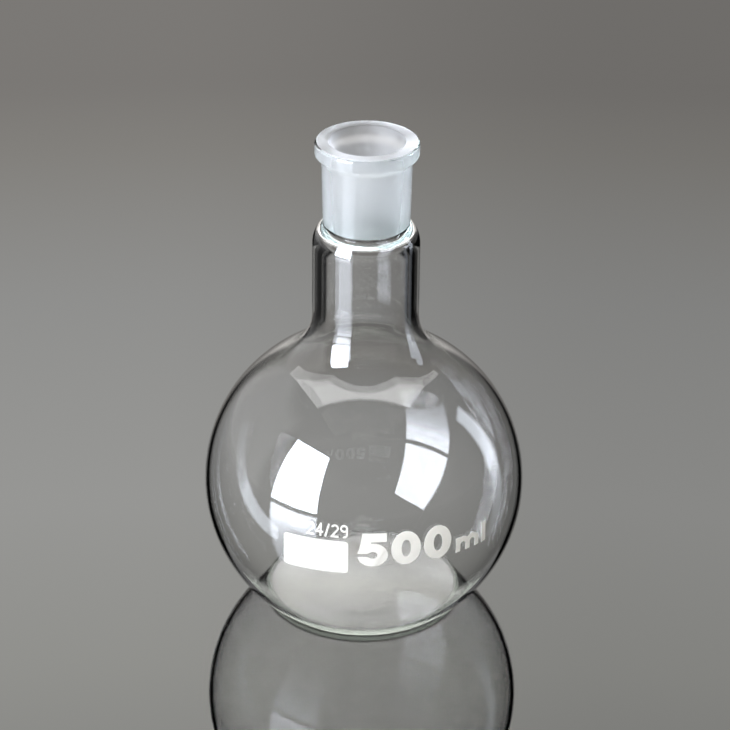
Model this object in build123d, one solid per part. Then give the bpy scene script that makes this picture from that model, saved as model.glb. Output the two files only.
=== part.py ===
from build123d import *
import os
from math import cos, sin, sqrt

# Flat-bottomed boiling flask of blown borosilicate glass, with a ground joint socket
# fused into the mouth of its neck and its marks fired on the bulb as white enamel.
# Millimetres. +Z is up and the origin is the middle of the base, on the bench.
# The front, -Y, is where the capacity number begins.

# Bulb
bulb_diameter = 105.0           # outside
bulb_wall = 1.4
bulb_centre_height = 42.0       # above the bench
heel_radius = 3.0               # outside, where the bulb turns under to the base
inner_heel_radius = 1.5
base_thickness = 2.0
base_ring_width = 5.0           # flat ring that the flask stands on
base_push_up = 1.0              # rise of the base inside that ring

# Neck
neck_diameter = 34.5            # outside
neck_wall = 3.0
neck_root_radius = 18.0         # outside, where the neck leaves the bulb
inner_root_radius = 20.0
shoulder_radius = 9.0           # outside rounding of the neck's top
ledge_thickness = 2.0           # glass under the socket's foot
inner_shoulder_radius = 2.0     # hollow rounding under the ledge
ledge_edge_radius = 1.4         # rounding of the ledge's inner edge

# Joint socket, size 24/29
overall_height = 163.0
joint_bore = 24.0               # wide end of the ground taper
joint_length = 29.0             # length of the ground taper
joint_taper = 0.1               # loss of diameter for each unit of length
socket_diameter = 28.8          # outside, under the rim
socket_foot_diameter = 27.8     # outside, in the neck's mouth
socket_foot_land = 1.0          # plain tube below the ground taper
socket_showing = 28.3           # from the neck's shoulder to the rim's top
rim_diameter = 33.2
rim_depth = 6.5                 # from the rim's top to where it meets the tube
rim_side = 4.3                  # straight side of the rim, roundings included
rim_top_rounding = 1.2
rim_under_rounding = 1.0
rim_hollow_rounding = 0.8
mouth_rounding = 0.6

# Enamel marks. Places are measured over the glass: along the girth from the front,
# positive towards +X, and up from the bulb's equator.
enamel_thickness = 0.12
panel_width = 21.4
panel_height = 11.5
panel_corner_radius = 1.2
panel_middle_up = 0.1
capacity = "500"
number_start = -1.85            # left edge of the capacity number
number_foot_up = -2.85
digit_height = 11.7
digit_width = 9.7
digit_gap = 1.1
upright_stroke = 3.3            # heavy strokes of the capacity number
level_stroke = 2.9
five_bowl_height = 8.3
five_bowl_opening = 1.2         # between the stem's foot and the bowl's tail
five_stem_inset = 1.65          # from the digit's left side to the stem's head
five_stem_lean = 1.25           # the stem's foot stands this much further left
five_flag_inset = 0.35          # from the flag's end to the digit's right side
mark_gap = 2.95                 # between the panel and the number
unit_gap = 1.9                  # between the number and its unit
unit_stroke = 1.75
unit_x_height = 5.2
unit_ascender = 7.1
unit_bay = 2.1                  # space between the stems of the m
letter_gap = 1.5
size_digit_height = 4.4
size_digit_width = 2.55
size_digit_gap = 0.4
size_slash_width = 1.6
size_stroke = 0.6
two_hook_start = 160            # degrees round the head of a small 2
two_hook_sweep = 205
nine_hook_sweep = 105           # degrees round the tail of a small 9
four_offset = 0.4               # crossbar and stem off the middle, as a share of half the digit
size_mark_gap = 1.2             # between the panel and the joint size above it

# Values that follow
bulb_radius = bulb_diameter / 2
neck_radius = neck_diameter / 2
neck_bore_radius = neck_radius - neck_wall
shoulder_height = overall_height - socket_showing       # where the shoulder meets the socket
foot_height = overall_height - joint_length - socket_foot_land
foot_radius = socket_foot_diameter / 2
shoulder_reach = foot_radius - (neck_radius - shoulder_radius)
neck_top = shoulder_height - sqrt(shoulder_radius ** 2 - shoulder_reach ** 2) + shoulder_radius
joint_bore_radius = joint_bore / 2
foot_bore_radius = (joint_bore - joint_taper * joint_length) / 2
standing_radius = sqrt((bulb_radius - heel_radius) ** 2 - (bulb_centre_height - heel_radius) ** 2)
push_up_reach = standing_radius - base_ring_width
push_up_radius = (push_up_reach ** 2 + base_push_up ** 2) / (2 * base_push_up)
digit_step = digit_width + digit_gap
number_end = number_start + len(capacity) * digit_step - digit_gap
panel_middle = number_start - mark_gap - panel_width / 2
CORNER = (Align.MIN, Align.MIN)


def revolved(outline):
    return revolve(Plane.XZ * outline, Axis.Z)


def corner_of(outline, radius, height):
    return outline.vertices().sort_by_distance((radius, height, 0))[0]


def block(outer_radius, low, high):
    return Pos(0, low) * Rectangle(outer_radius, high - low, align=CORNER)


def bottle_outline(ball_radius, tube_radius, floor, heel, root, tube_top):
    # Right half of a ball that is flat below and runs into a straight tube above
    ball = Pos(0, bulb_centre_height) * Circle(ball_radius)
    outline = (ball & block(2 * ball_radius, floor, tube_top)) + block(tube_radius, bulb_centre_height, tube_top)
    heel_reach = sqrt(ball_radius ** 2 - (bulb_centre_height - floor) ** 2)
    root_height = bulb_centre_height + sqrt(ball_radius ** 2 - tube_radius ** 2)
    outline = fillet(corner_of(outline, heel_reach, floor), heel)
    return fillet(corner_of(outline, tube_radius, root_height), root)


def pushed_up(outline, glass_above):
    # The base rises as a shallow dome inside the standing ring
    dome = Pos(0, base_push_up - push_up_radius) * Circle(push_up_radius + glass_above)
    return outline - dome


def flask_body():
    outside = bottle_outline(bulb_radius, neck_radius, 0, heel_radius, neck_root_radius, neck_top)
    outside = pushed_up(outside, 0)
    outside = fillet(corner_of(outside, neck_radius, neck_top), shoulder_radius)
    ledge_under = foot_height - ledge_thickness
    inside = bottle_outline(bulb_radius - bulb_wall, neck_bore_radius, base_thickness,
                            inner_heel_radius, inner_root_radius, ledge_under)
    inside = pushed_up(inside, base_thickness)
    inside = fillet(corner_of(inside, neck_bore_radius, ledge_under), inner_shoulder_radius)
    inside += block(foot_bore_radius, bulb_centre_height, foot_height)
    inside = fillet(corner_of(inside, foot_bore_radius, ledge_under), ledge_edge_radius)
    seat = block(foot_radius, foot_height, overall_height)
    return revolved(outside - inside - seat)


def joint_socket():
    rim_radius = rim_diameter / 2
    rim_under = overall_height - rim_depth
    side_foot = overall_height - rim_side
    tube = Polyline(
        (0, foot_height),
        (foot_radius, foot_height),
        (foot_radius, shoulder_height),
        (socket_diameter / 2, rim_under),
        (rim_radius, side_foot),
        (rim_radius, overall_height),
        (0, overall_height),
        close=True,
    )
    bore = Polyline(
        (0, foot_height),
        (foot_bore_radius, foot_height),
        (foot_bore_radius, foot_height + socket_foot_land),
        (joint_bore_radius, overall_height),
        (0, overall_height),
        close=True,
    )
    wall = make_face(tube) - make_face(bore)
    wall = fillet(corner_of(wall, rim_radius, overall_height), rim_top_rounding)
    wall = fillet(corner_of(wall, rim_radius, side_foot), rim_under_rounding)
    wall = fillet(corner_of(wall, socket_diameter / 2, rim_under), rim_hollow_rounding)
    wall = fillet(corner_of(wall, joint_bore_radius, overall_height), mouth_rounding)
    return revolved(wall)


def enamel_coat():
    # A skin all over the bulb, from which each mark keeps its own shape
    return Pos(0, 0, bulb_centre_height) * (Sphere(bulb_radius + enamel_thickness) - Sphere(bulb_radius))


def on_bulb(sign, along, up):
    # A flat sign, drawn about its middle, laid on the bulb as enamel
    tilt = up / bulb_radius
    turn = along / (bulb_radius * cos(tilt))
    outward = (sin(turn) * cos(tilt), -cos(turn) * cos(tilt), sin(tilt))
    rightward = (cos(turn), sin(turn), 0)
    plane = Plane(origin=(0, 0, bulb_centre_height), x_dir=rightward, z_dir=outward)
    return extrude(plane * sign, bulb_radius + 2 * enamel_thickness) & coat


def writing_panel():
    return on_bulb(RectangleRounded(panel_width, panel_height, panel_corner_radius), panel_middle, panel_middle_up)


def nought():
    counter = Ellipse(digit_width / 2 - upright_stroke, digit_height / 2 - level_stroke)
    return Ellipse(digit_width / 2, digit_height / 2) - counter


def five():
    top = digit_height / 2
    side = digit_width / 2
    bowl_middle = five_bowl_height / 2 - top
    bowl = Ellipse(side, five_bowl_height / 2)
    bowl -= Ellipse(side - upright_stroke, five_bowl_height / 2 - level_stroke)
    bowl -= Pos(-side, -five_bowl_opening / 2) * Rectangle(side, five_bowl_opening, align=CORNER)
    stem_head = five_stem_inset - side
    stem_foot = stem_head - five_stem_lean
    foot_up = bowl_middle + five_bowl_opening / 2
    stem = Polyline(
        (stem_head, top),
        (stem_head + upright_stroke, top),
        (stem_foot + upright_stroke, foot_up),
        (stem_foot, foot_up),
        close=True,
    )
    flag_width = digit_width - five_stem_inset - five_flag_inset
    flag = Pos(stem_head, top - level_stroke) * Rectangle(flag_width, level_stroke, align=CORNER)
    return Pos(0, bowl_middle) * bowl + flag + make_face(stem)


def capacity_number():
    signs = {"5": five(), "0": nought()}
    middle_up = number_foot_up + digit_height / 2
    first = number_start + digit_width / 2
    return [on_bulb(signs[digit], first + i * digit_step, middle_up) for i, digit in enumerate(capacity)]


def letter_m():
    step = unit_stroke + unit_bay
    outer = unit_stroke + unit_bay / 2
    arch = Circle(outer) - Circle(unit_bay / 2)
    arch = arch & Pos(-outer, 0) * Rectangle(2 * outer, outer, align=CORNER)
    foot = -unit_x_height / 2
    sign = Sketch()
    for i in (-1, 0, 1):
        height = unit_x_height if i == -1 else unit_x_height - outer
        sign += Pos(i * step - unit_stroke / 2, foot) * Rectangle(unit_stroke, height, align=CORNER)
    for i in (-0.5, 0.5):
        sign += Pos(i * step, foot + unit_x_height - outer) * arch
    return sign


def capacity_unit():
    m_width = 3 * unit_stroke + 2 * unit_bay
    m_middle = number_end + unit_gap + m_width / 2
    l_middle = m_middle + (m_width + unit_stroke) / 2 + letter_gap
    m_mark = on_bulb(letter_m(), m_middle, number_foot_up + unit_x_height / 2)
    l_mark = on_bulb(Rectangle(unit_stroke, unit_ascender), l_middle, number_foot_up + unit_ascender / 2)
    return [m_mark, l_mark]


def pen(*path):
    return trace(list(path), size_stroke)


def size_box():
    # Half width and half height of the pen's path in a small digit
    return (size_digit_width - size_stroke) / 2, (size_digit_height - size_stroke) / 2


def small_two():
    x, y = size_box()
    hook = CenterArc((0, y - x), x, two_hook_start, -two_hook_sweep)
    slope = Line(hook @ 1, (-x, -y))
    return pen(hook, slope) + pen(Line((-x - size_stroke / 2, -y), (x + size_stroke / 2, -y)))


def small_four():
    x, y = size_box()
    upright = four_offset * x
    crossbar = -four_offset * y
    stem = Line((upright, y + size_stroke / 2), (upright, -y - size_stroke / 2))
    slope = Line((upright, y), (-x, crossbar))
    return pen(stem) + pen(slope) + pen(Line((-x - size_stroke / 2, crossbar), (x + size_stroke / 2, crossbar)))


def small_nine():
    x, y = size_box()
    ring = Pos(0, y - x) * (Circle(x + size_stroke / 2) - Circle(x - size_stroke / 2))
    tail = Line((x, y - x), (x, x - y))
    hook = CenterArc((0, x - y), x, 0, -nine_hook_sweep)
    return ring + pen(tail, hook)


def slash():
    reach = (size_slash_width - size_stroke) / 2
    return pen(Line((-reach, -size_digit_height / 2), (reach, size_digit_height / 2)))


def joint_size_mark():
    signs = [(small_two(), size_digit_width), (small_four(), size_digit_width), (slash(), size_slash_width),
             (small_two(), size_digit_width), (small_nine(), size_digit_width)]
    middle_up = panel_middle_up + panel_height / 2 + size_mark_gap + size_digit_height / 2
    right = panel_middle + panel_width / 2
    marks = []
    for sign, width in reversed(signs):
        marks.append(on_bulb(sign, right - width / 2, middle_up))
        right -= width + size_digit_gap
    return marks


coat = enamel_coat()
nodes = {
    "flask_body": flask_body(),
    "joint_socket": joint_socket(),
    "writing_panel": writing_panel(),
    "capacity_number": Compound(children=capacity_number()),
    "capacity_unit": Compound(children=capacity_unit()),
    "joint_size_mark": Compound(children=joint_size_mark()),
}

os.makedirs("parts", exist_ok=True)
for name, shape in nodes.items():
    export_step(shape, f"parts/{name}.step")
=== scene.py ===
from math import atan2, ceil, cos, pi, radians, sin, sqrt, tan
import bpy
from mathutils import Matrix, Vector


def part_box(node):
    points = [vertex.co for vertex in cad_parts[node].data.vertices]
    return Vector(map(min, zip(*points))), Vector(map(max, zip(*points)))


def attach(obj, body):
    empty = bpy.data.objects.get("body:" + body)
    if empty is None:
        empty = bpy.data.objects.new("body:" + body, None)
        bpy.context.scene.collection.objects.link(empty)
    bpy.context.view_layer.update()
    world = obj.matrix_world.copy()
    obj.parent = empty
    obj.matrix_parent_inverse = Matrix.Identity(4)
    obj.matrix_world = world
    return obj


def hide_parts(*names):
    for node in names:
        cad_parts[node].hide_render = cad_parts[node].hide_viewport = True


# Flat-bottomed boiling flask in clear blown glass, with a ground joint socket fused
# into its neck and white enamel marks. Metres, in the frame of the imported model.

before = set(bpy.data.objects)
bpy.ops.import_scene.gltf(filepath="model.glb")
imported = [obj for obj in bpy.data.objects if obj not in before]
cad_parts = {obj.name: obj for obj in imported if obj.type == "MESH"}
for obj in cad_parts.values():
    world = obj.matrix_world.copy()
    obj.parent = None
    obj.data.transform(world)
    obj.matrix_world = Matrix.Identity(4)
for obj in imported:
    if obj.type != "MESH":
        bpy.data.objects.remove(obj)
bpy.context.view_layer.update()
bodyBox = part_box("flask_body")
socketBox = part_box("joint_socket")
print("frame loaded")

camera = {
    "place": (0.0, -0.9086, 0.5608),
    "lookDown": 27.708,     # degrees under the horizon
    "roll": 0.596,
    "lens": 156.0,
    "sensor": 36.0,
    "nearest": 0.05,        # nothing nearer than this shows
}


def placeCamera(wanted):
    bpy.ops.object.camera_add(location=wanted["place"])
    made = bpy.context.active_object
    made.rotation_euler = (radians(90 - wanted["lookDown"]), 0, 0)
    made.rotation_euler.rotate_axis("Z", radians(wanted["roll"]))
    made.data.lens = wanted["lens"]
    made.data.sensor_width = wanted["sensor"]
    made.data.clip_start = wanted["nearest"]
    bpy.context.scene.camera = made


placeCamera(camera)


class Wire:
    # A node's socket that can be written in sums
    def __init__(self, tree, socket):
        self.tree = tree
        self.socket = socket

    def maths(self, operation, *terms):
        numbered = dict(enumerate(terms))
        return self.tree.node("ShaderNodeMath", {"operation": operation}, numbered)["Value"]

    def __add__(self, other):
        return self.maths("ADD", self, other)

    def __radd__(self, other):
        return self.maths("ADD", other, self)

    def __sub__(self, other):
        return self.maths("SUBTRACT", self, other)

    def __rsub__(self, other):
        return self.maths("SUBTRACT", other, self)

    def __mul__(self, other):
        return self.maths("MULTIPLY", self, other)

    def __rmul__(self, other):
        return self.maths("MULTIPLY", other, self)

    def __gt__(self, other):
        return self.maths("GREATER_THAN", self, other)

    def __lt__(self, other):
        return self.maths("LESS_THAN", self, other)

    def __abs__(self):
        return self.maths("ABSOLUTE", self)


class Node:
    # A node whose outputs are read by name
    def __init__(self, tree, node):
        self.tree = tree
        self.node = node

    def __getitem__(self, name):
        return Wire(self.tree, self.node.outputs[name])


class Tree:
    def __init__(self, owner):
        owner.use_nodes = True
        self.nodes = owner.node_tree.nodes
        self.links = owner.node_tree.links
        self.nodes.clear()

    def node(self, kind, settings=None, sockets=None):
        made = self.nodes.new(kind)
        for name, value in (settings or {}).items():
            if name == "stops":
                ramp = made.color_ramp.elements
                while len(ramp) < len(value):
                    ramp.new(1.0)
                for element, (position, colour) in zip(ramp, value):
                    element.position = position
                    element.color = (*colour, 1.0)
            else:
                setattr(made, name, value)
        for name, value in (sockets or {}).items():
            if isinstance(value, Wire):
                self.links.new(value.socket, made.inputs[name])
            else:
                made.inputs[name].default_value = value
        return Node(self, made)

    def fade(self, value, ends, first, last):
        # A smooth change from first to last while value goes between the ends
        return self.node("ShaderNodeMapRange", {"interpolation_type": "SMOOTHSTEP"}, {
            "Value": value, "From Min": ends[0], "From Max": ends[1], "To Min": first, "To Max": last,
        })["Result"]

    def noise(self, perMetre, detail, roughness=0.5):
        place = self.node("ShaderNodeTexCoord")["Object"]
        return self.node("ShaderNodeTexNoise", {}, {
            "Vector": place, "Scale": perMetre, "Detail": detail, "Roughness": roughness,
        })["Fac"]

    def relief(self, height, depth, strength):
        return self.node("ShaderNodeBump", {}, {
            "Strength": strength, "Distance": depth, "Height": height,
        })["Normal"]


def newMaterial(name):
    material = bpy.data.materials.new(name)
    return material, Tree(material)


glass = {
    "refraction": 1.473,
    "waveHeight": 0.00004,              # slow waves left by blowing
    "waveSize": 0.022,
    "waveRoughness": 0.4,
    "tint": (0.84, 0.95, 0.93),
    "tintPerMetre": 1.6,
    "shade": (0.93, 0.94, 0.93),        # share of the light that reaches things behind
    "carried": (0.86, 0.95, 0.84),      # painted glow in the thick base, an emission in place of light carried round inside it
    "carriedAfter": 2.5,                # reflections before the painted glow shows
    "carriedBelow": 0.0034,             # height of the top of the thick base
    "carriedStrength": 2.2,
}


def lightPassing(tree, surface, shade):
    # Light for the things behind passes the glass, dimmed by shade, in place of caustics
    passing = tree.node("ShaderNodeBsdfTransparent", {}, {"Color": (*shade, 1)})["BSDF"]
    shadow = tree.node("ShaderNodeLightPath")["Is Shadow Ray"]
    return tree.node("ShaderNodeMixShader", {}, {0: shadow, 1: surface, 2: passing})["Shader"]


def blownGlass(name):
    material, tree = newMaterial(name)
    waves = tree.noise(1 / glass["waveSize"], detail=1.0, roughness=glass["waveRoughness"])
    surface = tree.node("ShaderNodeBsdfPrincipled", {}, {
        "Base Color": (1, 1, 1, 1),
        "Roughness": 0.0,
        "IOR": glass["refraction"],
        "Transmission Weight": 1.0,
        "Normal": tree.relief(waves, glass["waveHeight"], strength=1.0),
    })["BSDF"]
    place = tree.node("ShaderNodeTexCoord")["Object"]
    height = tree.node("ShaderNodeSeparateXYZ", {}, {"Vector": place})["Z"]
    # Painted glow: rays that stay inside the thick base after several reflections meet an emission in
    # place of the light carried there
    inner = tree.node("ShaderNodeLightPath")["Glossy Depth"] > glass["carriedAfter"]
    paintedGlowMask = inner * (height < glass["carriedBelow"])
    carried = tree.node("ShaderNodeEmission", {}, {
        "Color": (*glass["carried"], 1),
        "Strength": glass["carriedStrength"],
    })["Emission"]
    surface = tree.node("ShaderNodeMixShader", {}, {0: paintedGlowMask, 1: surface, 2: carried})["Shader"]
    volume = tree.node("ShaderNodeVolumeAbsorption", {}, {
        "Color": (*glass["tint"], 1),
        "Density": glass["tintPerMetre"],
    })["Volume"]
    tree.node("ShaderNodeOutputMaterial", {}, {
        "Surface": lightPassing(tree, surface, glass["shade"]),
        "Volume": volume,
    })
    return material


ground = {
    "milk": (0.62, 0.62, 0.63),     # colour inside the taper, darker as painted shade
    "rimMilk": (0.95, 0.95, 0.95),  # and on the rim's top, paler as painted light
    "roughness": 0.62,
    "clearness": 0.88,
    "cloudsPerMetre": 130.0,
    "cloudWhiteness": 0.08,
    "cloudRoughness": 0.1,
    "pitsPerMetre": 2600.0,
    "pitDepth": 0.00005,
    "pitStrength": 0.35,
    "shade": (0.6, 0.6, 0.6),
}


def groundGlass(name, milkColour):
    # The taper inside the socket and the top of its rim, ground to a fine matt finish
    material, tree = newMaterial(name)
    clouds = tree.noise(ground["cloudsPerMetre"], detail=3.0)
    pits = tree.noise(ground["pitsPerMetre"], detail=2.0)
    milk = tree.node("ShaderNodeMix", {"data_type": "RGBA"}, {
        "Factor": ground["cloudWhiteness"] * clouds, "A": (*milkColour, 1), "B": (1, 1, 1, 1),
    })["Result"]
    surface = tree.node("ShaderNodeBsdfPrincipled", {}, {
        "Base Color": milk,
        "Roughness": ground["roughness"] + ground["cloudRoughness"] * clouds,
        "IOR": glass["refraction"],
        "Transmission Weight": ground["clearness"],
        "Normal": tree.relief(pits, ground["pitDepth"], ground["pitStrength"]),
    })["BSDF"]
    tree.node("ShaderNodeOutputMaterial", {}, {"Surface": lightPassing(tree, surface, ground["shade"])})
    return material


def weldedFace(name):
    # Inside the weld the two glasses are one, so nothing shows there
    material, tree = newMaterial(name)
    clear = tree.node("ShaderNodeBsdfTransparent")["BSDF"]
    tree.node("ShaderNodeOutputMaterial", {}, {"Surface": clear})
    return material


flaskGlass = blownGlass("clear blown glass")
socketGlass = blownGlass("clear socket glass")
# Two copies of one ground glass: the rim's is paler as painted light, the taper's darker as painted shade
groundTaper = groundGlass("ground taper", ground["milk"])
groundRim = groundGlass("ground rim", ground["rimMilk"])
weldFace = weldedFace("welded faces")
print("glass ready")


# Each glass piece is a section drawn with a pen and then turned round the axis
drawing = {
    "startSize": 0.001,     # plane that shrinks to the first point
    "turns": 192,           # faces round the axis
    "bulbStep": 1.5,        # degrees of arc for each face of the bulb
    "domeStep": 0.75,       # the same on the raised base
    "smallStep": 9.0,       # and on small curves
    "mergeWithin": 0.000002,
    "smoothUnder": 35.0,    # degrees between faces that are shaded as one
    "nearFace": 0.0001,     # a face this near to a level or radius counts as on it
}


def startSection(name, radius, height):
    # A plane shrunk to one point, from which the section is drawn
    bpy.ops.object.select_all(action="DESELECT")
    bpy.ops.mesh.primitive_plane_add(size=drawing["startSize"], location=(radius, 0, height))
    piece = bpy.context.active_object
    piece.name = name
    piece.data.name = name
    bpy.ops.object.transform_apply(location=True)
    bpy.ops.object.mode_set(mode="EDIT")
    bpy.ops.mesh.select_all(action="SELECT")
    bpy.ops.mesh.merge(type="CENTER")
    return {"piece": piece, "at": (radius, height)}


def lineTo(pen, radius, height):
    move = (radius - pen["at"][0], 0, height - pen["at"][1])
    bpy.ops.mesh.extrude_region_move(TRANSFORM_OT_translate={"value": move})
    pen["at"] = (radius, height)


def arcTo(pen, centre, end, step):
    start = atan2(pen["at"][1] - centre[1], pen["at"][0] - centre[0])
    sweep = atan2(end[1] - centre[1], end[0] - centre[0]) - start
    sweep = (sweep + pi) % (2 * pi) - pi
    steps = max(2, ceil(abs(sweep) / radians(step)))
    bpy.ops.mesh.spin(steps=steps, angle=sweep, center=(centre[0], 0, centre[1]), axis=(0, 1, 0))
    pen["at"] = end


def turnSection(pen):
    bpy.ops.mesh.select_all(action="SELECT")
    bpy.ops.mesh.spin(steps=drawing["turns"], angle=2 * pi, center=(0, 0, 0), axis=(0, 0, 1))
    bpy.ops.mesh.select_all(action="SELECT")
    bpy.ops.mesh.remove_doubles(threshold=drawing["mergeWithin"])
    bpy.ops.mesh.normals_make_consistent(inside=False)
    bpy.ops.object.mode_set(mode="OBJECT")
    bpy.ops.object.shade_smooth_by_angle(angle=radians(drawing["smoothUnder"]))
    return pen["piece"]


def paintFaces(piece, material, chosen):
    # The material goes on the faces chosen by their radius and height
    slot = piece.data.materials.find(material.name)
    for face in piece.data.polygons:
        reach = sqrt(face.center.x ** 2 + face.center.y ** 2)
        if chosen(reach, face.center.z):
            face.material_index = slot


socket = {
    "top": socketBox[1].z,
    "foot": socketBox[0].z,
    "rimRadius": socketBox[1].x,
    "mouthRadius": 0.0120,
    "taper": 0.1,               # loss of diameter for each unit of length
    "groundLength": 0.029,
    "tubeRadius": 0.0144,       # outside, under the rim
    "footRadius": 0.0139,
    "shoulder": 0.1347,         # height where the neck's shoulder meets the tube
    "rimDepth": 0.0065,
    "rimSide": 0.0043,
    "rimTopRounding": 0.0012,
    "rimUnderRounding": 0.0010,
    "rimHollowRounding": 0.0008,
    "mouthRounding": 0.0006,
    "groundRim": 0.0003,        # how far the grinding turns out over the mouth's edge
    "weldGap": 0.000004,
    "weldUnder": 0.0002,        # the weld ends this far under the shoulder
}


def taperFoot():
    # Radius of the ground taper at its lower end
    return socket["mouthRadius"] - socket["taper"] * socket["groundLength"] / 2


def roundedCorner(pen, corner, after, radius):
    # A straight run up to a corner, and the arc round it towards the next point
    before = Vector((pen["at"][0] - corner[0], pen["at"][1] - corner[1])).normalized()
    onward = Vector((after[0] - corner[0], after[1] - corner[1])).normalized()
    half = before.angle(onward) / 2
    run = radius / tan(half)
    begin = Vector(corner) + before * run
    end = Vector(corner) + onward * run
    centre = Vector(corner) + (before + onward).normalized() * (radius / sin(half))
    lineTo(pen, *begin)
    arcTo(pen, tuple(centre), tuple(end), drawing["smallStep"])


def makeSocket(size):
    top = size["top"]
    foot = size["foot"] + size["weldGap"]
    footRadius = size["footRadius"] - size["weldGap"]
    boreFoot = taperFoot()
    shoulder = size["shoulder"]
    under = (size["tubeRadius"], top - size["rimDepth"])
    side = (size["rimRadius"], top - size["rimSide"])
    edge = (size["rimRadius"], top)
    mouth = (size["mouthRadius"], top)
    groundFoot = (boreFoot, top - size["groundLength"])
    pen = startSection("joint_socket_glass", boreFoot, foot)
    lineTo(pen, footRadius, foot)
    lineTo(pen, footRadius, shoulder)
    roundedCorner(pen, under, side, size["rimHollowRounding"])
    roundedCorner(pen, side, edge, size["rimUnderRounding"])
    roundedCorner(pen, edge, mouth, size["rimTopRounding"])
    roundedCorner(pen, mouth, groundFoot, size["mouthRounding"])
    lineTo(pen, *groundFoot)
    lineTo(pen, boreFoot, foot)
    piece = turnSection(pen)
    for material in (socketGlass, groundTaper, weldFace, groundRim):
        piece.data.materials.append(material)
    near = drawing["nearFace"]
    inner = size["mouthRadius"] + size["groundRim"]
    seat = size["footRadius"] - near
    weldTop = shoulder - size["weldUnder"]
    paintFaces(piece, groundTaper, lambda reach, height: reach < inner and height > groundFoot[1])
    paintFaces(piece, groundRim, lambda reach, height: height > top - near)
    paintFaces(piece, weldFace, lambda reach, height: height < foot + near)
    paintFaces(piece, weldFace, lambda reach, height: reach > seat and height < weldTop)
    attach(piece, "root")
    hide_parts("joint_socket")


flask = {
    "bulbRadius": min(bodyBox[1].x, bodyBox[1].y),
    "bulbCentre": 0.042,        # height
    "bulbWall": 0.0014,
    "heelRadius": 0.0030,
    "innerHeelRadius": 0.0015,
    "baseThickness": 0.0020,
    "standingRing": 0.0050,
    "pushUp": 0.0010,
    "neckRadius": 0.01725,
    "neckWall": 0.0030,
    "rootRadius": 0.0180,
    "innerRootRadius": 0.0200,
    "shoulderRadius": 0.0090,
    "ledge": 0.0020,
    "innerShoulderRadius": 0.0020,
    "ledgeEdgeRadius": 0.0014,
    "weldHalfWidth": 0.0018,    # of the ring on which the socket's foot stands
}


def touching(ballRadius, ballHeight, centre):
    # Where an arc about this centre runs smoothly into the bulb
    away = Vector((centre[0], centre[1] - ballHeight)).normalized() * ballRadius
    return (away.x, away.y + ballHeight)


def makeFlask(size):
    ball = size["bulbRadius"]
    innerBall = ball - size["bulbWall"]
    height = size["bulbCentre"]
    bore = size["neckRadius"] - size["neckWall"]
    wide, fine = drawing["bulbStep"], drawing["smallStep"]

    standing = sqrt((ball - size["heelRadius"]) ** 2 - (height - size["heelRadius"]) ** 2)
    heel = (standing, size["heelRadius"])
    reach = standing - size["standingRing"]
    domeRadius = (reach ** 2 + size["pushUp"] ** 2) / (2 * size["pushUp"])
    dome = (0, size["pushUp"] - domeRadius)
    rootReach = size["neckRadius"] + size["rootRadius"]
    root = (rootReach, height + sqrt((ball + size["rootRadius"]) ** 2 - rootReach ** 2))

    pen = startSection("flask_body_glass", 0, size["pushUp"])
    arcTo(pen, dome, (reach, 0), drawing["domeStep"])
    lineTo(pen, standing, 0)
    arcTo(pen, heel, touching(ball, height, heel), fine)
    arcTo(pen, (0, height), touching(ball, height, root), wide)
    arcTo(pen, root, (size["neckRadius"], root[1]), fine)

    shoulderReach = size["neckRadius"] - size["shoulderRadius"]
    seatTop = (socket["footRadius"], socket["shoulder"])
    shoulderStart = seatTop[1] - sqrt(size["shoulderRadius"] ** 2 - (seatTop[0] - shoulderReach) ** 2)
    shoulder = (shoulderReach, shoulderStart)
    seat = socket["foot"]
    boreFoot = taperFoot()
    lineTo(pen, size["neckRadius"], shoulderStart)
    arcTo(pen, shoulder, seatTop, fine)
    lineTo(pen, socket["footRadius"], seat)
    lineTo(pen, boreFoot, seat)

    ledgeUnder = seat - size["ledge"]
    ledgeEdge = (boreFoot + size["ledgeEdgeRadius"], ledgeUnder + size["ledgeEdgeRadius"])
    innerShoulder = (bore - size["innerShoulderRadius"], ledgeUnder - size["innerShoulderRadius"])
    lineTo(pen, boreFoot, ledgeEdge[1])
    arcTo(pen, ledgeEdge, (ledgeEdge[0], ledgeUnder), fine)
    lineTo(pen, innerShoulder[0], ledgeUnder)
    arcTo(pen, innerShoulder, (bore, innerShoulder[1]), fine)

    innerRootReach = bore + size["innerRootRadius"]
    innerRootHeight = height + sqrt((innerBall + size["innerRootRadius"]) ** 2 - innerRootReach ** 2)
    innerRoot = (innerRootReach, innerRootHeight)
    floor = size["baseThickness"]
    heelRise = height - floor - size["innerHeelRadius"]
    innerHeel = (sqrt((innerBall - size["innerHeelRadius"]) ** 2 - heelRise ** 2), height - heelRise)
    innerDome = domeRadius + floor
    domeEdge = sqrt(innerDome ** 2 - (floor - dome[1]) ** 2)
    lineTo(pen, bore, innerRootHeight)
    arcTo(pen, innerRoot, touching(innerBall, height, innerRoot), fine)
    arcTo(pen, (0, height), touching(innerBall, height, innerHeel), wide)
    arcTo(pen, innerHeel, (innerHeel[0], floor), fine)
    lineTo(pen, domeEdge, floor)
    arcTo(pen, dome, (0, size["pushUp"] + floor), drawing["domeStep"])

    piece = turnSection(pen)
    for material in (flaskGlass, weldFace):
        piece.data.materials.append(material)
    onSeat = seat - drawing["nearFace"]
    middle = (socket["footRadius"] + boreFoot) / 2
    half = size["weldHalfWidth"]
    paintFaces(piece, weldFace, lambda reach, height: height > onSeat and abs(reach - middle) < half)
    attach(piece, "root")
    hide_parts("flask_body")


makeSocket(socket)
print("joint socket turned")
makeFlask(flask)
print("flask body turned")

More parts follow.
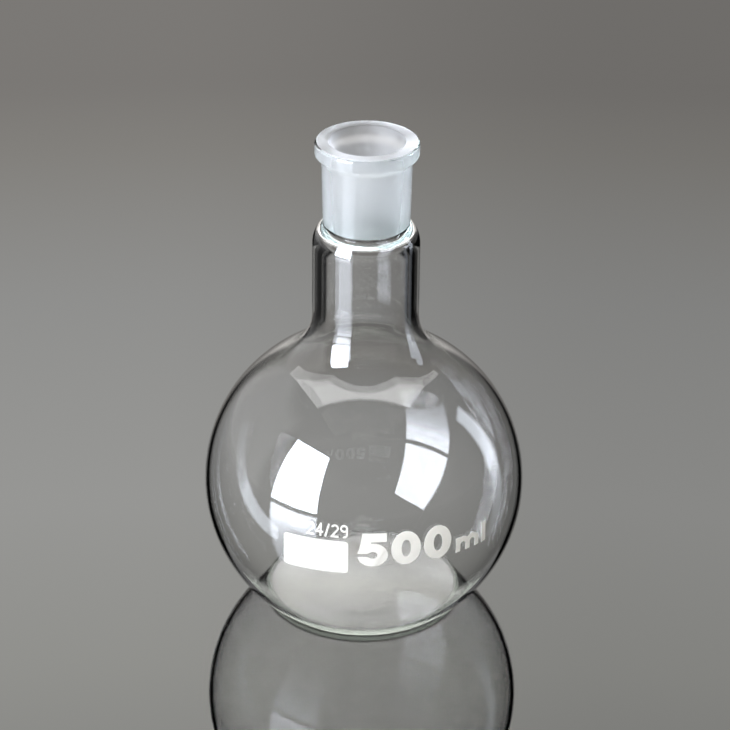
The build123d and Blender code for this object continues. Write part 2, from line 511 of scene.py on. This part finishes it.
enamel = {
    "colour": (0.90, 0.90, 0.88),
    "thinColour": (0.86, 0.86, 0.84),
    "thinUnder": 0.35,          # cloud value under which the thin colour shows
    "fullOver": 0.55,           # and over which the full colour does
    "roughness": 0.35,
    "cloudsPerMetre": 260.0,
    "cloudRoughness": 0.15,
    "screenPerMetre": 2200.0,   # faint weave left by the printing screen
    "screenDepth": 0.00004,
    "screenStrength": 0.3,
    "nodes": ("writing_panel", "capacity_number", "capacity_unit", "joint_size_mark"),
}


def firedEnamel(name):
    material, tree = newMaterial(name)
    clouds = tree.noise(enamel["cloudsPerMetre"], detail=4.0)
    screen = tree.noise(enamel["screenPerMetre"], detail=1.0)
    stops = [(enamel["thinUnder"], enamel["thinColour"]), (enamel["fullOver"], enamel["colour"])]
    colour = tree.node("ShaderNodeValToRGB", {"stops": stops}, {"Fac": clouds})["Color"]
    surface = tree.node("ShaderNodeBsdfPrincipled", {}, {
        "Base Color": colour,
        "Roughness": enamel["roughness"] + enamel["cloudRoughness"] * clouds,
        "Normal": tree.relief(screen, enamel["screenDepth"], enamel["screenStrength"]),
    })["BSDF"]
    tree.node("ShaderNodeOutputMaterial", {}, {"Surface": surface})
    return material


whiteEnamel = firedEnamel("white fired enamel")
for node in enamel["nodes"]:
    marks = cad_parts[node]
    marks.data.materials.clear()
    marks.data.materials.append(whiteEnamel)
print("enamel fired")

studio = {
    "floorSize": 6.0,
    "floorLevel": -0.0002,
    "floorRefraction": 1.5,
}


def polishedFloor():
    # Black and polished, so it shows the backdrop by its gloss alone
    material, tree = newMaterial("polished black floor")
    surface = tree.node("ShaderNodeBsdfPrincipled", {}, {
        "Base Color": (0, 0, 0, 1),
        "Roughness": 0.0,
        "IOR": studio["floorRefraction"],
    })["BSDF"]
    tree.node("ShaderNodeOutputMaterial", {}, {"Surface": surface})
    return material


def layFloor():
    bpy.ops.object.select_all(action="DESELECT")
    bpy.ops.mesh.primitive_plane_add(size=studio["floorSize"], location=(0, 0, studio["floorLevel"]))
    made = bpy.context.active_object
    made.name = "studio floor"
    bpy.ops.object.transform_apply(location=True)
    made.data.materials.append(polishedFloor())


layFloor()
print("floor laid")

# Places in the room are directions from the flask, from -1 to 1 along each axis. A pair
# says where a fade starts and ends.
room = {
    "backdrop": 4.0,                    # brightest part of the backdrop
    "backdropGreys": [                  # from low to high
        (0.30, (0.230, 0.222, 0.212)),
        (0.385, (0.345, 0.330, 0.312)),
        (0.4035, (0.425, 0.410, 0.383)),
        (0.446, (0.627, 0.627, 0.611)),
        (0.502, (0.867, 0.867, 0.839)),
        (0.545, (0.917, 0.917, 0.867)),
        (0.64, (0.80, 0.80, 0.78)),
        (0.74, (0.0, 0.0, 0.0)),
    ],
    "backdropEdge": 0.384,              # half width, as a slope from the middle
    "backdropFade": 0.11,
    "backdropRight": 0.80,              # share of its light that is left at its right
    "backdropDimming": (-0.07, 0.08),
    "dark": 0.012,                      # light from everywhere
    "lowGlow": 0.03,                    # low down on both sides of the backdrop
    "lowGlowTop": (0.33, 0.42),
    "lowGlowFront": (0.1, 0.5),
    "behindCamera": 0.28,               # grey wall behind the camera
    "behindCameraTop": (0.35, 0.60),
    "behindCameraEnd": (-0.1, 0.3),     # where it ends in the floor and the gloss
    "behindCameraFar": (-0.5, -0.2),    # where it ends seen any other way
    "leftWall": 1.2,                    # pale wall at the left, seen in the gloss only
    "leftWallSide": (-0.60, -0.44),
    "leftWallFront": (-0.25, -0.05),
    "leftWallTop": (0.60, 0.80),
}


def lightRoom():
    # A dark room with a grey backdrop behind the flask, brightest where the floor shows it
    world = bpy.data.worlds.new("studio")
    bpy.context.scene.world = world
    tree = Tree(world)
    towards = tree.node("ShaderNodeTexCoord")["Generated"]
    parts = tree.node("ShaderNodeSeparateXYZ", {}, {"Vector": towards})
    right, back, rise = parts["X"], parts["Y"], abs(parts["Z"])
    path = tree.node("ShaderNodeLightPath")
    reflected = path["Is Glossy Ray"] * (path["Transmission Depth"] < 0.5)     # not through glass

    grey = tree.node("ShaderNodeValToRGB", {"stops": room["backdropGreys"]}, {"Fac": rise})["Color"]
    inside = room["backdropEdge"] * back - abs(right)
    screen = tree.fade(inside, (0.0, room["backdropFade"]), 0.0, 1.0)
    across = tree.fade(right, room["backdropDimming"], 1.0, room["backdropRight"])
    strength = screen * across * room["backdrop"]
    backdrop = tree.node("ShaderNodeBackground", {}, {"Color": grey, "Strength": strength})["Background"]

    low = tree.fade(rise, room["lowGlowTop"], 1.0, 0.0) * tree.fade(back, room["lowGlowFront"], 0.0, 1.0)
    lowGlow = room["lowGlow"] * low * (1.0 - screen)

    behind = tree.fade(back, room["behindCameraEnd"], 1.0, 0.0)
    farBehind = tree.fade(back, room["behindCameraFar"], 1.0, 0.0)
    cameraWall = tree.fade(rise, room["behindCameraTop"], room["behindCamera"], 0.0)
    cameraWall = cameraWall * (behind * reflected + farBehind * (1.0 - reflected))

    leftWall = tree.fade(right, room["leftWallSide"], room["leftWall"], 0.0)
    leftFront = tree.fade(back, room["leftWallFront"], 0.0, 1.0)
    leftTop = tree.fade(rise, room["leftWallTop"], 1.0, 0.0)
    leftWall = leftWall * leftFront * leftTop * reflected

    glow = room["dark"] + lowGlow + cameraWall + leftWall
    walls = tree.node("ShaderNodeBackground", {}, {"Color": (1, 1, 1, 1), "Strength": glow})["Background"]
    both = tree.node("ShaderNodeAddShader", {}, {0: backdrop, 1: walls})["Shader"]
    tree.node("ShaderNodeOutputWorld", {}, {"Surface": both})


lightRoom()
print("room lit")

lamps = {
    # name: direction from the flask (degrees from the front, to the right), distance,
    # lowest and highest edge, width, brightness, colour, seen only in reflections
    "key softbox": (-49.0, 1.1, 0.03, 0.97, 0.69, 34.0, (0.82, 0.88, 1.0), True),
    "key softbox cloth": (-49.0, 1.099, 0.03, 0.97, 0.69, 3.0, (1.0, 1.0, 1.0), True),
    "key softbox on print": (-49.0, 1.1, 0.03, 0.97, 0.69, 11.5, (1.0, 1.0, 1.0), False),
    "fill on print": (35.0, 1.3, 0.30, 0.90, 0.60, 8.3, (1.0, 0.98, 0.90), False),
    "right panel": (107.0, 1.2, 0.0, 0.75, 0.24, 4.8, (0.82, 0.89, 1.0), True),
}
overheadFacing = (0, -0.525, -0.851)    # both hang tilted towards the camera
overheadPanels = {
    # name: middle, size, brightness
    "wide overhead panel": ((-0.03, 0.33, 1.015), (1.38, 1.01), 2.6),
    "near overhead panel": ((-0.005, 0.205, 1.082), (1.17, 0.65), 1.5),
}


def addLamp(name, place, facing, size, brightness, colour, inReflections):
    # brightness is what the lamp's face would show, so its power follows from its size
    light = bpy.data.lights.new(name, "AREA")
    light.shape = "RECTANGLE"
    light.size, light.size_y = size
    light.energy = brightness * pi * size[0] * size[1]
    light.color = colour
    lamp = bpy.data.objects.new(name, light)
    bpy.context.scene.collection.objects.link(lamp)
    lamp.location = place
    lamp.rotation_euler = Vector(facing).to_track_quat("-Z", "Y").to_euler()
    lamp.visible_camera = False
    lamp.visible_diffuse = not inReflections
    lamp.visible_glossy = inReflections
    lamp.visible_transmission = inReflections


for name, (turn, distance, low, high, width, brightness, colour, inReflections) in lamps.items():
    across, along = sin(radians(turn)), -cos(radians(turn))
    place = (distance * across, distance * along, (low + high) / 2)
    addLamp(name, place, (-across, -along, 0), (width, high - low), brightness, colour, inReflections)
for name, (middle, size, brightness) in overheadPanels.items():
    addLamp(name, middle, overheadFacing, size, brightness, (1, 1, 1), True)
print("lamps hung")

bpy.context.scene.view_settings.view_transform = "Standard"
